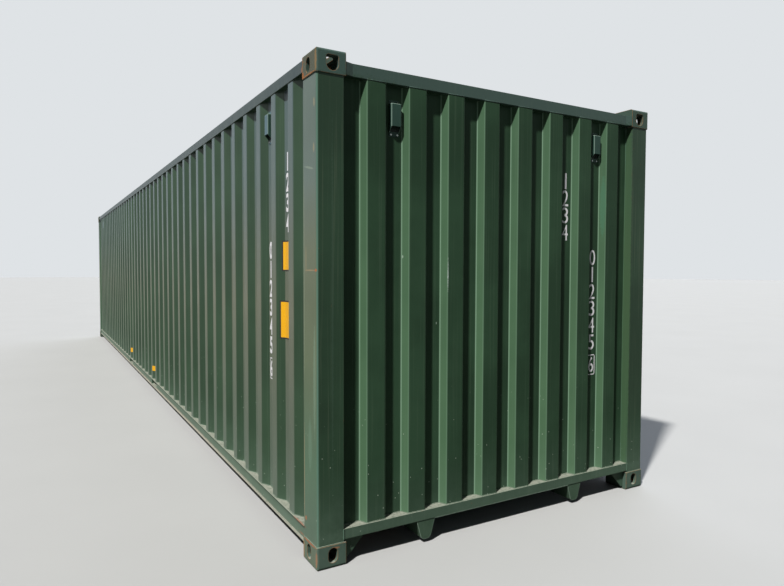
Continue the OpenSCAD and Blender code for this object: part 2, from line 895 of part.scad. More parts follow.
place_casting(1, -1, false);  // casting_bottom_front_right
place_casting(1, 1, false);  // casting_bottom_front_left
place_casting(-1, -1, false);  // casting_bottom_rear_right
place_casting(-1, 1, false);  // casting_bottom_rear_left
place_casting(1, -1, true);  // casting_top_front_right
place_casting(1, 1, true);  // casting_top_front_left
place_casting(-1, -1, true);  // casting_top_rear_right
place_casting(-1, 1, true);  // casting_top_rear_left
posts_front();
posts_rear();
front_sill();
front_top_rail();
sill_gussets();
door_sill();
door_header();
door_corner_blocks();
bottom_rail();  // bottom_rail_right
mirror([0, 1, 0]) bottom_rail();  // bottom_rail_left
top_rails();
front_wall();
side_wall();  // side_wall_right
mirror([0, 1, 0]) side_wall();  // side_wall_left
roof();
roof_end_plates();
floor();
cross_members();
tunnel_bows();
tunnel_beams();
tunnel_deck();
fork_pockets();
door_frame();  // door_frame_right
mirror([0, 1, 0]) door_frame();  // door_frame_left
door_panel();  // door_panel_right
mirror([0, 1, 0]) door_panel();  // door_panel_left
door_seals();
lock_rods();
rod_guides();
lock_keepers();
door_handles();
handle_catches();
hinge_lugs();
hinge_straps();
wall_vents();
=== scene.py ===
import json
import math

import bmesh
import bpy
from mathutils import Matrix, Vector


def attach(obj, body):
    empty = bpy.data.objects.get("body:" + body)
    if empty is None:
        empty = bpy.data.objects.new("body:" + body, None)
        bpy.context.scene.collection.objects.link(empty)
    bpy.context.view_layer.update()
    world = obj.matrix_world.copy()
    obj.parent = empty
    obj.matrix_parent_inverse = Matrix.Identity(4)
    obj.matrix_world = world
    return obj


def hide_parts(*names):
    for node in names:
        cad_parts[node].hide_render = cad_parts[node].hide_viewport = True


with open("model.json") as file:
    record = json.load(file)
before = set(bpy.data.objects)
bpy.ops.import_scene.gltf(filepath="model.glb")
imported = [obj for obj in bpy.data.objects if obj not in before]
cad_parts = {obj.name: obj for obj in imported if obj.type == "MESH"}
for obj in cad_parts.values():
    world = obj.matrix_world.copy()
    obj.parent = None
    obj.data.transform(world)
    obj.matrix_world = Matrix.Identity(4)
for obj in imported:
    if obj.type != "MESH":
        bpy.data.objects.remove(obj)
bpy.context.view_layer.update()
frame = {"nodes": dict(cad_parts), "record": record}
nodes = frame["nodes"]
scene = bpy.context.scene

# all sizes are in metres; the castings end at castX, castY, castLow and castHigh
body = {"top": 2.591, "castX": 5.918, "castY": 1.057, "castLow": 0.118, "castHigh": 2.473}
sides = ((-1, "right"), (1, "left"))

print("camera")


def makeCamera(view):
    yaw, pitch, roll = (math.radians(view[key]) for key in ("yaw", "pitch", "roll"))
    ahead = Vector((math.cos(yaw) * math.cos(pitch), math.sin(yaw) * math.cos(pitch), math.sin(pitch)))
    level = Vector((math.sin(yaw), -math.cos(yaw), 0))
    rise = level.cross(ahead)
    right = level * math.cos(roll) + rise * math.sin(roll)
    up = rise * math.cos(roll) - level * math.sin(roll)
    data = bpy.data.cameras.new("camera")
    data.sensor_fit = "HORIZONTAL"
    data.sensor_width = 36
    data.lens = view["focal"] / view["width"] * data.sensor_width
    data.shift_x = (view["width"] / 2 - view["middle"][0]) / view["width"]
    data.shift_y = (view["middle"][1] - view["height"] / 2) / view["width"]
    data.clip_start = 0.1
    data.clip_end = 400
    camera = bpy.data.objects.new("camera", data)
    turn = Matrix((right, up, -ahead)).transposed()
    camera.matrix_world = Matrix.Translation(view["place"]) @ turn.to_4x4()
    scene.collection.objects.link(camera)
    scene.camera = camera


# the photograph's view: place and turns of the camera, focal length and middle in pixels
makeCamera({
    "place": (8.938, -2.3956, 1.5218), "yaw": 149.047, "pitch": -2.251, "roll": 0.21,
    "focal": 621.18, "middle": (408.52, 291.97), "width": 784, "height": 586,
})
scene.view_settings.view_transform = "Standard"

print("materials")


def linear(code):
    # sRGB hex to the linear colour that shaders work in
    parts = [int(code[i:i + 2], 16) / 255 for i in (1, 3, 5)]
    return tuple(v / 12.92 if v < 0.04045 else ((v + 0.055) / 1.055) ** 2.4 for v in parts) + (1.0,)


def addNode(tree, kind, settings=None, **inputs):
    # an input is named by its socket, or by its number as i0, i1; it takes a link or a value
    made = tree.nodes.new("ShaderNode" + kind)
    for key, value in (settings or {}).items():
        setattr(made, key, value)
    for key, value in inputs.items():
        numbered = key[0] == "i" and key[1:].isdigit()
        socket = made.inputs[int(key[1:]) if numbered else key.replace("_", " ")]
        if isinstance(value, bpy.types.NodeSocket):
            tree.links.new(value, socket)
        else:
            socket.default_value = value
    return made


def newMaterial(name):
    made = bpy.data.materials.new(name)
    made.use_nodes = True
    tree = made.node_tree
    tree.nodes.clear()
    shader = addNode(tree, "BsdfPrincipled")
    addNode(tree, "OutputMaterial", Surface=shader.outputs[0])
    return made, tree, shader


def noise(tree, place, perMetre, detail=4.0, rough=0.55, stretch=None):
    if stretch:
        place = addNode(tree, "Mapping", Vector=place, Scale=stretch).outputs[0]
    made = addNode(tree, "TexNoise", Vector=place, Scale=perMetre, Detail=detail, Roughness=rough)
    return made.outputs["Fac"]


def ramp(tree, value, low, high):
    # soft step from 0 at low to 1 at high
    settings = {"interpolation_type": "SMOOTHSTEP"}
    return addNode(tree, "MapRange", settings, Value=value, From_Min=low, From_Max=high).outputs[0]


def scaled(tree, value, low, high, start=0.0, end=1.0):
    # straight line from low at start to high at end
    made = addNode(tree, "MapRange", Value=value, From_Min=start, From_Max=end, To_Min=low, To_Max=high)
    return made.outputs[0]


def combine(tree, kind, a, b):
    settings = {"operation": kind, "use_clamp": kind == "ADD"}
    return addNode(tree, "Math", settings, i0=a, i1=b).outputs[0]


def product(tree, first, *others):
    for other in others:
        first = combine(tree, "MULTIPLY", first, other)
    return first


def absolute(tree, value):
    return addNode(tree, "Math", {"operation": "ABSOLUTE"}, i0=value).outputs[0]


def blendColour(tree, amount, a, b):
    return addNode(tree, "Mix", {"data_type": "RGBA"}, i0=amount, i6=a, i7=b).outputs[2]


def bump(tree, height, distance, strength, **below):
    return addNode(tree, "Bump", Height=height, Distance=distance, Strength=strength, **below).outputs[0]


def heightTone(tree, height, stops):
    # colours given from the ground to the roof, each with its share of the height
    made = addNode(tree, "ValToRGB", i0=combine(tree, "DIVIDE", height, body["top"]))
    marks = made.color_ramp.elements
    for share, colour in stops[1:-1]:
        marks.new(share).color = linear(colour)
    marks[0].color = linear(stops[0][1])
    marks[-1].color = linear(stops[-1][1])
    return made.outputs[0]


def addMark(tree, place, colour, mark, ragged):
    # a fuzzy patch: its middle, half sizes, tilt, colour and strength
    middle, half, tilt, tone, strength = mark
    local = addNode(tree, "Mapping", {"vector_type": "TEXTURE"}, Vector=place,
                    Location=middle, Rotation=(0, tilt, 0), Scale=half).outputs[0]
    away = addNode(tree, "VectorMath", {"operation": "LENGTH"}, i0=local).outputs["Value"]
    away = addNode(tree, "Math", {"operation": "ADD"}, i0=away, i1=ragged).outputs[0]
    return blendColour(tree, product(tree, ramp(tree, away, 1.0, 0.6), strength), colour, linear(tone))


def surfacePoint(tree):
    # where a point of the surface is and which way it is turned
    place = addNode(tree, "TexCoord").outputs["Object"]
    normal = addNode(tree, "NewGeometry").outputs["Normal"]
    spot = addNode(tree, "SeparateXYZ", Vector=place).outputs
    turn = addNode(tree, "SeparateXYZ", Vector=normal).outputs
    return {
        "place": place, "x": spot[0], "off": absolute(tree, spot[1]), "height": spot[2],
        "normal": normal, "ahead": absolute(tree, turn[0]), "across": absolute(tree, turn[1]),
        "level": absolute(tree, turn[2]), "up": turn[2],
    }


def fadeAndLight(tree, at, colour, look):
    # enamel turned to the sides is painted paler in patches of 0.3 m, inner faces less than outer ones; this
    # is partly a faded coat and partly painted sunlight and painted sky reflection
    sideways = ramp(tree, at["across"], *look["turned"])
    patches = scaled(tree, noise(tree, at["place"], 3.5, 5.0), 0.62, 1.15)
    outer = scaled(tree, at["off"], look["inner"], 1.0, look["outer"] - 0.02, look["outer"])
    fadeAndLightShare = product(tree, sideways, patches, outer, look["fadeAndLight"])
    colour = blendColour(tree, fadeAndLightShare, colour, heightTone(tree, at["height"], look["fadedAndLit"]))
    # painted highlight: upright rounded corners are painted a paler green
    corner = ramp(tree, combine(tree, "MINIMUM", at["across"], at["ahead"]), 0.30, 0.50)
    return blendColour(tree, product(tree, corner, look["corner"]), colour, linear(look["cornerHighlightColour"]))


def scuff(tree, at, colour, look):
    if "edges" in look:
        # painted highlight: bends painted pale
        largest = combine(tree, "MAXIMUM", combine(tree, "MAXIMUM", at["across"], at["ahead"]), at["level"])
        colour = blendColour(tree, ramp(tree, largest, 0.97, 0.86), colour, linear(look["edges"]))
    if "bend" in look:
        # painted highlight: press bends painted pale, most at the foot of each slope
        turning = product(tree, ramp(tree, at["across"], 0.28, 0.48), ramp(tree, at["across"], 0.88, 0.74))
        bend = product(tree, turning, scaled(tree, at["x"], 0.8, 0.3, *look["bendHighlightReach"]))
        colour = blendColour(tree, bend, colour, linear(look["bend"]))
    # rain streaks, 12 mm wide and up to a metre long
    streak = ramp(tree, noise(tree, at["place"], 1.0, 3.0, 0.6, (80, 80, 1.1)), 0.52, 0.75)
    return blendColour(tree, product(tree, streak, look["streaks"]), colour, linear(look["streakColour"]))


def dust(tree, at, colour, look):
    # splashed dust thins out over the lowest half metre
    thinning = ramp(tree, at["height"], 0.55, 0.0)
    low = product(tree, thinning, noise(tree, at["place"], 9.0, 6.0, 0.7), look["lowDust"])
    colour = blendColour(tree, low, colour, linear(look["dustColour"]))
    # more lies on ledges, but rain keeps the roof cleaner
    ledge = ramp(tree, at["up"], 0.75, 0.98)
    grain = ramp(tree, noise(tree, at["place"], 55.0, 5.0, 0.7), 0.20, 0.55)
    washed = scaled(tree, at["height"], 1.0, 0.35, 2.40, 2.50)
    settled = product(tree, ledge, grain, look["ledgeDust"], washed)
    colour = blendColour(tree, settled, colour, linear(look["ledgeColour"]))
    # pale specks of 5 mm, splashed up to about a metre
    specks = addNode(tree, "TexVoronoi", Vector=at["place"], Scale=22.0).outputs["Distance"]
    specks = product(tree, ramp(tree, specks, 0.072, 0.050), ramp(tree, at["height"], 0.95, 0.45))
    return blendColour(tree, specks, colour, linear(look["speckColour"])), settled


def rust(tree, at, look):
    # chips down to rust, 2 to 8 mm, and a few larger stains
    chips = ramp(tree, noise(tree, at["place"], 38.0, 6.0, 0.62), look["chips"], look["chips"] + 0.012)
    stains = ramp(tree, noise(tree, at["place"], 7.0, 6.0, 0.7), look["stains"], look["stains"] + 0.10)
    bare = combine(tree, "MAXIMUM", chips, product(tree, stains, 0.75))
    # corners rubbed bare: where a 6 mm rounding turns the surface away from its face
    near = addNode(tree, "Bevel", {"samples": 8}, Radius=0.006).outputs[0]
    turn = addNode(tree, "VectorMath", {"operation": "DOT_PRODUCT"}, i0=near, i1=at["normal"])
    turned = ramp(tree, turn.outputs["Value"], 0.995, 0.86)
    patches = ramp(tree, noise(tree, at["place"], 17.0, 5.0, 0.7), look["rubbed"], look["rubbed"] + 0.12)
    return combine(tree, "MAXIMUM", bare, product(tree, turned, patches))


def relief(tree, at, look, bare):
    # rounded edges, a slow wave every 0.4 m, the peel of the coat and the step of a chip
    soft = addNode(tree, "Bevel", {"samples": 4}, Radius=look["edge"]).outputs[0]
    wave = bump(tree, noise(tree, at["place"], 2.6, 1.0), look["wave"], 1.0, Normal=soft)
    peel = bump(tree, noise(tree, at["place"], look["peelPerMetre"], 3.0), look["peel"], 0.6, Normal=wave)
    return bump(tree, bare, 0.0006, 0.7, Normal=peel)


def paint(look):
    made, tree, shader = newMaterial(look["name"])
    at = surfacePoint(tree)
    # coats of slightly different age, patches about 0.6 m across
    coats = ramp(tree, noise(tree, at["place"], 1.6), 0.35, 0.68)
    colour = blendColour(tree, coats, linear(look["dark"]), linear(look["pale"]))
    colour = fadeAndLight(tree, at, colour, look)
    colour = scuff(tree, at, colour, look)
    colour, settled = dust(tree, at, colour, look)
    ragged = scaled(tree, noise(tree, at["place"], 70.0, 5.0, 0.75), -0.6, 0.6)
    for mark in look.get("marks", ()):
        colour = addMark(tree, at["place"], colour, mark, ragged)
    bare = rust(tree, at, look)
    dark, pale = look["worn"]
    bareTone = blendColour(tree, noise(tree, at["place"], 90.0, 4.0), linear(dark), linear(pale))
    tree.links.new(blendColour(tree, bare, colour, bareTone), shader.inputs["Base Color"])
    shader.inputs["Specular IOR Level"].default_value = look["shine"]
    # dust and rust are duller than the coat
    rough = scaled(tree, noise(tree, at["place"], 14.0, 5.0), look["rough"] - 0.06, look["rough"] + 0.10)
    dull = product(tree, combine(tree, "MAXIMUM", settled, bare), 0.45)
    tree.links.new(combine(tree, "ADD", rough, dull), shader.inputs["Roughness"])
    tree.links.new(relief(tree, at, look, bare), shader.inputs["Normal"])
    return made


# green enamel as on most pieces; each look below names what differs from it.
# turned: how far sideways a face looks where its paler colour, partly a faded coat and partly painted light,
# begins and where it is fullest; corner: strength of a painted highlight on rounded upright corners.
# outer: how far off the middle that is. chips, stains and rubbed: the higher, the fewer.
enamel = {
    "dark": "#2c4433", "pale": "#36523e", "shine": 0.15, "rough": 0.36,
    "fadeAndLight": 0.95, "fadedAndLit": [(0, "#5f7463"), (1, "#5f7463")], "turned": (0.90, 0.99),
    "outer": 1.17, "inner": 0.0, "corner": 0.0, "cornerHighlightColour": "#5a7c70",
    "streaks": 0.18, "streakColour": "#5d7361", "speckColour": "#9fb0a2",
    "lowDust": 0.30, "dustColour": "#7c9688", "ledgeDust": 0.80, "ledgeColour": "#9fa298",
    "chips": 0.755, "stains": 0.80, "rubbed": 0.62, "worn": ("#5a2f1a", "#a8673a"),
    "edge": 0.003, "wave": 0.004, "peel": 0.00025, "peelPerMetre": 420,
}

# enamel on pressed sheet, painted pale blue-grey where it faces the side: partly a faded coat, partly painted
# sunlight and painted sky reflection
sheetEnamel = {
    **enamel, "name": "satinEnamelOnSheet", "dark": "#283f2e", "pale": "#304936", "shine": 0.36, "outer": 1.10,
    "fadedAndLit": [(0, "#5f6e66"), (0.25, "#616c61"), (0.5, "#6e7163"), (0.62, "#5f675b"),
                 (0.8, "#556768"), (1, "#52656d")],
}

# marks of years of handling on the plates, most of them near the right front corner
plateMarks = [
    # side of the front post: scratches, chips and worn edges
    ((6.005, -1.214, 1.506), (0.080, 0.010, 0.005), 0.0, "#9a8a6c", 0.7),
    ((6.077, -1.214, 1.507), (0.014, 0.010, 0.009), 0.0, "#b8683c", 0.8),
    ((5.994, -1.214, 2.020), (0.070, 0.010, 0.007), 0.205, "#8b9c8e", 0.6),
    ((6.061, -1.214, 2.332), (0.012, 0.010, 0.026), 0.0, "#8f8a72", 0.8),
    ((6.055, -1.214, 2.112), (0.012, 0.010, 0.028), 0.0, "#8f8a72", 0.8),
    ((5.950, -1.214, 1.560), (0.006, 0.010, 0.085), 0.0, "#958a6c", 0.7),
    ((5.942, -1.214, 0.222), (0.009, 0.010, 0.016), 0.0, "#c06a3c", 0.8),
    ((5.922, -1.214, 0.450), (0.006, 0.010, 0.300), 0.0, "#a9987a", 0.55),
    ((5.922, -1.214, 1.500), (0.005, 0.010, 0.700), 0.0, "#8a9a86", 0.7),
    ((6.060, -1.214, 0.950), (0.018, 0.010, 0.330), 0.0, "#7d9886", 0.5),
    ((6.000, -1.214, 0.620), (0.028, 0.010, 0.160), 0.0, "#72917f", 0.4),
    # lower rail: a dusty lower edge, and rust at its front end
    ((0.000, -1.219, 0.091), (7.500, 0.030, 0.017), 0.0, "#a39d93", 0.65),
    ((5.860, -1.219, 0.104), (0.100, 0.020, 0.012), 0.0, "#ad5a3a", 0.8),
    ((5.850, -1.215, 0.168), (0.110, 0.010, 0.005), 0.0, "#935a44", 0.6),
    # upper rail by its casting
    ((5.900, -1.211, 2.530), (0.022, 0.010, 0.020), 0.0, "#8a5a3c", 0.8),
    # an upright line down the near post; the return of the rear post, painted paler as painted sunlight; and
    # the inner side of the far post
    ((6.000, -1.130, 1.300), (0.200, 0.008, 1.300), 0.0, "#3f5648", 0.5),
    ((-5.920, -1.190, 1.300), (0.040, 0.040, 1.700), 0.0, "#67836f", 0.8),
    ((6.060, 1.068, 1.300), (0.045, 0.014, 1.900), 0.0, "#476549", 0.75),
    # front top rail and sill, toned along their length
    ((6.085, 0.000, 2.530), (0.040, 1.800, 0.090), 0.0, "#4b605d", 0.75),
    ((6.091, 0.000, 0.157), (0.030, 1.800, 0.045), 0.0, "#5b7365", 0.3),
]
# enamel on folded plate, painted paler in bands where it faces the side, partly a faded coat and partly
# painted sunlight and sky reflection, and dark again on the upper rails; rounded upright corners carry a
# painted highlight
plateEnamel = {
    **enamel, "name": "satinEnamelOnPlate", "dark": "#293f30", "pale": "#314b39", "shine": 0.18,
    "fadedAndLit": [(0, "#56695f"), (0.2, "#5c7a66"), (0.4, "#6a7861"), (0.62, "#6e7662"), (0.76, "#657671"),
                 (0.955, "#657671"), (0.972, "#3a494e"), (1, "#3a494e")],
    "turned": (0.55, 0.95), "inner": 0.3, "corner": 0.8, "streaks": 0.22, "streakColour": "#75836f",
    "lowDust": 0.45, "wave": 0.0012, "chips": 0.735, "stains": 0.76, "marks": plateMarks,
}

castMarks = [
    # bottom casting: rust along the top and both ends of its side, and a patch on its front
    ((6.000, -1.219, 0.115), (0.095, 0.030, 0.006), 0.0, "#b0664a", 0.8),
    ((5.924, -1.219, 0.055), (0.010, 0.030, 0.070), 0.0, "#a98868", 0.7),
    ((6.088, -1.219, 0.060), (0.008, 0.010, 0.050), 0.0, "#a5745a", 0.6),
    ((6.096, -1.120, 0.100), (0.020, 0.030, 0.008), 0.0, "#b07a58", 0.6),
    # top casting: rust along the foot and both ends of its side, and a paler blue-green front
    ((6.000, -1.219, 2.477), (0.095, 0.030, 0.007), 0.0, "#96663f", 0.8),
    ((5.926, -1.219, 2.488), (0.016, 0.030, 0.024), 0.0, "#a5622f", 0.9),
    ((6.096, -1.138, 2.532), (0.020, 0.130, 0.090), 0.0, "#496460", 0.5),
    ((6.088, -1.219, 2.530), (0.007, 0.030, 0.070), 0.0, "#8c7250", 0.7),
    ((5.922, -1.219, 2.540), (0.006, 0.030, 0.060), 0.0, "#96663f", 0.7),
]
castEnamel = {
    **enamel, "name": "enamelOnCastSteel", "dark": "#3c4e47", "pale": "#4a5f56", "turned": (0.55, 0.95),
    "fadedAndLit": [(0, "#667061"), (0.5, "#5b5f50"), (1, "#55574a")], "wave": 0.0, "peel": 0.0012,
    "peelPerMetre": 190, "rubbed": 0.36, "chips": 0.675, "stains": 0.64, "rough": 0.5, "edge": 0.004,
    "worn": ("#6b4a33", "#ab8a68"), "marks": castMarks,
}

frontMarks = [
    # a long scratch, a fresher patch below the left vent and two chips
    ((6.070, -0.424, 1.478), (0.014, 0.0035, 0.140), 0.0, "#b4c2c0", 0.85),
    ((6.058, 0.828, 1.929), (0.026, 0.0220, 0.247), 0.0, "#4d7a63", 0.55),
    ((6.036, -0.472, 1.211), (0.010, 0.0035, 0.009), 0.0, "#9db3a6", 0.7),
    ((6.038, -0.696, 1.581), (0.010, 0.0035, 0.011), 0.0, "#9db3a6", 0.7),
]
# bend: colour of a painted highlight along the press bends; bendHighlightReach: from the foot of a slope to
# its upper part. The slopes are painted paler as painted sunlight.
frontEnamel = {
    **enamel, "name": "satinEnamelOnFrontSheet", "turned": (0.25, 0.85), "outer": -1.0, "fadeAndLight": 0.9,
    "fadedAndLit": [(0, "#547559"), (1, "#4d6c54")], "shine": 0.08, "marks": frontMarks,
    "bend": "#7c9c86", "bendHighlightReach": (6.048, 6.062),
}
baseEnamel = {
    **enamel, "name": "dullUndersidePaint", "dark": "#2e4434", "pale": "#3a523f", "rough": 0.6, "wave": 0.001,
    "chips": 0.80, "stains": 0.85, "rubbed": 0.30, "worn": ("#7f9a8d", "#a3b8ad"),
}
gearEnamel = {
    **enamel, "name": "enamelOnForgings", "wave": 0.0, "chips": 0.70, "stains": 0.72, "edge": 0.0015,
}
# the side faces are painted paler blue as painted sunlight, and edges is the colour of a painted highlight
# along the bends
hoodEnamel = {
    **enamel, "name": "powderCoatOnHood", "dark": "#2d463f", "pale": "#345149", "turned": (0.3, 0.9),
    "outer": 1.16, "fadedAndLit": [(0, "#557282"), (1, "#557282")], "wave": 0.0, "edge": 0.001,
    "chips": 0.95, "stains": 0.95, "edges": "#7d948c",
}


def rodSteel():
    # zinc coat on the lock rods: dull metal with 8 mm spangle and lines drawn along the rod
    made, tree, shader = newMaterial("dullZincSteel")
    place = addNode(tree, "TexCoord").outputs["Object"]
    tone = blendColour(tree, noise(tree, place, 120.0), linear("#7d8484"), linear("#a2a8a6"))
    spots = ramp(tree, noise(tree, place, 45.0, 6.0, 0.65), 0.62, 0.70)
    tree.links.new(blendColour(tree, spots, tone, linear("#6b4a33")), shader.inputs["Base Color"])
    shader.inputs["Metallic"].default_value = 0.85
    tree.links.new(scaled(tree, noise(tree, place, 30.0), 0.35, 0.62), shader.inputs["Roughness"])
    lines = noise(tree, place, 1.0, 2.0, 0.5, (900, 900, 12))
    tree.links.new(bump(tree, lines, 0.0003, 0.4), shader.inputs["Normal"])
    return made


def sealRubber():
    # moulded door seals: black with a grey bloom in patches of a few centimetres
    made, tree, shader = newMaterial("mouldedRubber")
    place = addNode(tree, "TexCoord").outputs["Object"]
    tone = blendColour(tree, noise(tree, place, 22.0, 5.0), linear("#15171a"), linear("#2b2d2f"))
    tree.links.new(tone, shader.inputs["Base Color"])
    shader.inputs["Roughness"].default_value = 0.72
    tree.links.new(bump(tree, noise(tree, place, 700.0), 0.0003, 0.4), shader.inputs["Normal"])
    return made


def floorWood():
    # worn plywood: grain lines 17 mm wide along the box, with darker trodden patches
    made, tree, shader = newMaterial("wornPlywood")
    place = addNode(tree, "TexCoord").outputs["Object"]
    grain = noise(tree, place, 1.0, 6.0, 0.6, (1.4, 60, 60))
    tone = blendColour(tree, ramp(tree, grain, 0.3, 0.7), linear("#5e4026"), linear("#94704a"))
    trodden = ramp(tree, noise(tree, place, 3.0, 5.0), 0.5, 0.8)
    tree.links.new(blendColour(tree, trodden, tone, linear("#4a3a2b")), shader.inputs["Base Color"])
    shader.inputs["Roughness"].default_value = 0.62
    tree.links.new(bump(tree, grain, 0.0008, 0.5), shader.inputs["Normal"])
    return made


def filmLook(name, colour, worn, rough):
    # printed film: a slight fade, and grime in specks of a few millimetres
    made, tree, shader = newMaterial(name)
    place = addNode(tree, "TexCoord").outputs["Object"]
    grime = ramp(tree, noise(tree, place, 160.0, 5.0, 0.7), 0.50, 0.80)
    fade = noise(tree, place, 12.0, 3.0)
    tone = blendColour(tree, product(tree, fade, 0.25), linear(colour), linear(worn))
    tone = blendColour(tree, product(tree, grime, 0.55), tone, linear(worn))
    tree.links.new(tone, shader.inputs["Base Color"])
    shader.inputs["Roughness"].default_value = rough
    return made


materials = {
    # satin enamel on pressed sheet: soft wide highlights with slow waves
    "wall_paint": paint(sheetEnamel),
    # the same enamel on thick folded plate: flatter, more scuffs
    "frame_paint": paint(plateEnamel),
    # enamel over sand-cast steel: grainy, rusting at its worn edges
    "casting_paint": paint(castEnamel),
    # dull coat under the box, scuffed to pale undercoat along every edge
    "base_paint": paint(baseEnamel),
    # brushed-on enamel over forged fittings
    "gear_paint": paint(gearEnamel),
    "rod_steel": rodSteel(),
    "seal_rubber": sealRubber(),
    "floor_wood": floorWood(),
}
# the front sheet faces away from the weather: still green; its slopes are painted paler as painted sunlight,
# and its press bends carry a painted highlight
frontPaint = paint(frontEnamel)
# vent hoods: blue-grey powder coat, with a painted highlight along its edges and side faces painted paler as
# painted sunlight
hoodCoat = paint(hoodEnamel)
whiteFilm = filmLook("whiteVinylFilm", "#f3f4fc", "#c2c6d4", 0.42)
yellowFilm = filmLook("yellowVinylFilm", "#f2b40c", "#b98a1c", 0.40)
blackFilm = filmLook("blackVinylFilm", "#17191a", "#34383a", 0.45)
# the dark behind the vent screens
darkHollow = filmLook("shadedMesh", "#0b0d0c", "#1b1e1c", 0.8)

for row in frame["record"]["subparts"]:
    mesh = nodes[row["node"]].data
    mesh.materials.clear()
    mesh.materials.append(materials[row["material_slot"]])

print("helpers")


def finishMesh(bm, name, material, replaced=(), smooth=30):
    bmesh.ops.recalc_face_normals(bm, faces=bm.faces[:])
    limit = math.radians(smooth)
    for face in bm.faces:
        face.smooth = True
    for edge in bm.edges:
        edge.smooth = edge.calc_face_angle(0) < limit
    mesh = bpy.data.meshes.new(name)
    bm.to_mesh(mesh)
    bm.free()
    mesh.materials.append(material)
    piece = bpy.data.objects.new(name, mesh)
    scene.collection.objects.link(piece)
    weighted = piece.modifiers.new("weightedNormals", "WEIGHTED_NORMAL")
    weighted.keep_sharp = True
    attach(piece, "root")
    if replaced:
        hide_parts(*replaced)


def roundEdges(bm, edges, offset, segments=2):
    bmesh.ops.bevel(bm, geom=edges, offset=offset, segments=segments, profile=0.5, affect="EDGES", material=-1)


def addBox(bm, low, high, bevel=0.0):
    low, high = Vector(low), Vector(high)
    made = bmesh.ops.create_cube(bm, size=1.0)["verts"]
    bmesh.ops.scale(bm, vec=high - low, verts=made)
    bmesh.ops.translate(bm, vec=(low + high) / 2, verts=made)
    if bevel:
        roundEdges(bm, list({edge for vert in made for edge in vert.link_edges}), bevel)
    return made


def turnTo(axis):
    return Vector((0, 0, 1)).rotation_difference(Vector(axis)).to_matrix().to_4x4()


def addRound(bm, middle, axis, radius, height, segments=16, bevel=0.0):
    place = Matrix.Translation(middle) @ turnTo(axis)
    made = bmesh.ops.create_cone(bm, cap_ends=True, segments=segments, radius1=radius, radius2=radius,
                                 depth=height, matrix=place)["verts"]
    if bevel:
        along = Vector(axis).normalized()
        rim = {edge for vert in made for edge in vert.link_edges
               if abs((edge.verts[0].co - edge.verts[1].co).dot(along)) < 1e-6}
        roundEdges(bm, list(rim), bevel)


def facing(side, place):
    # right, up and outward of a face as its viewer sees them
    right, up, out = {
        "front": ((0, 1, 0), (0, 0, 1), (1, 0, 0)), "rear": ((0, -1, 0), (0, 0, 1), (-1, 0, 0)),
        "right": ((1, 0, 0), (0, 0, 1), (0, -1, 0)), "left": ((-1, 0, 0), (0, 0, 1), (0, 1, 0)),
    }[side]
    return Matrix.Translation(place) @ Matrix((right, up, out)).transposed().to_4x4()


def stamp(bm, template, places):
    # copies a small mesh drawn in right, up, out to each place
    for place in places:
        mesh = bpy.data.meshes.new("stamp")
        template.to_mesh(mesh)
        mesh.transform(place)
        bm.from_mesh(mesh)
        bpy.data.meshes.remove(mesh)
    template.free()


def boltHead(radius, height):
    # a washer of a quarter of the height under a six-sided head
    bm = bmesh.new()
    addRound(bm, (0, 0, height * 0.12), (0, 0, 1), radius * 1.7, height * 0.24, 20, height * 0.06)
    addRound(bm, (0, 0, height * 0.62), (0, 0, 1), radius, height * 0.76, 6, height * 0.12)
    return bm


def rivetHead(radius, height):
    bm = bmesh.new()
    addRound(bm, (0, 0, height / 2), (0, 0, 1), radius, height, 14, height * 0.45)
    return bm


def addBead(bm, path, radius, perMetre=9):
    # weld bead: a ring carried along the path, its width changing a little from step to step
    path = [Vector(point) for point in path]
    steps = []
    for start, end in zip(path, path[1:]):
        count = max(1, round((end - start).length * perMetre))
        steps += [start.lerp(end, i / count) for i in range(count)]
    steps.append(path[-1])
    ring = bmesh.ops.create_circle(bm, cap_ends=False, segments=6, radius=radius)["verts"]
    edges = list({edge for vert in ring for edge in vert.link_edges})
    old = Matrix.Identity(4)
    for i, point in enumerate(steps):
        ahead = (steps[min(i + 1, len(steps) - 1)] - steps[max(i - 1, 0)]).normalized()
        size = 1 + 0.13 * math.sin(i * 2.3) + 0.08 * math.sin(i * 5.1)
        new = Matrix.Translation(point) @ turnTo(ahead) @ Matrix.Diagonal((size, size, 1, 1))
        if i == 0:
            bmesh.ops.transform(bm, matrix=new, verts=ring)
            bmesh.ops.edgeloop_fill(bm, edges=edges)
        else:
            made = bmesh.ops.extrude_edge_only(bm, edges=edges)["geom"]
            verts = [item for item in made if isinstance(item, bmesh.types.BMVert)]
            edges = [item for item in made if isinstance(item, bmesh.types.BMEdge)]
            edges = [edge for edge in edges if edge.verts[0] in verts and edge.verts[1] in verts]
            bmesh.ops.transform(bm, matrix=new @ old.inverted(), verts=verts)
        old = new
    bmesh.ops.edgeloop_fill(bm, edges=edges)


def centred(sheet):
    return [(i - (sheet["count"] - 1) / 2) * sheet["pitch"] for i in range(sheet["count"])]


def sheetLine(start, end, centres, sheet):
    # the pressed outline as points along the sheet and in depth
    points = [(start, sheet["depth"])]
    half = sheet["crest"] / 2
    for c in centres:
        points += [(c - half - sheet["slope"], sheet["depth"]), (c - half, 0.0)]
        points += [(c + half, 0.0), (c + half + sheet["slope"], sheet["depth"])]
    return points + [(end, sheet["depth"])]


def roundedLine(points, bend):
    # press bends are rounded by the bevel operator, then read back in order
    bm = bmesh.new()
    verts = [bm.verts.new((u, d, 0)) for u, d in points]
    for a, b in zip(verts, verts[1:]):
        bm.edges.new((a, b))
    bends = verts[1:-1]
    bmesh.ops.bevel(bm, geom=bends, offset=bend, segments=4, profile=0.5, affect="VERTICES", material=-1)
    line = sorted((vert.co.x, vert.co.y) for vert in bm.verts)
    bm.free()
    return line


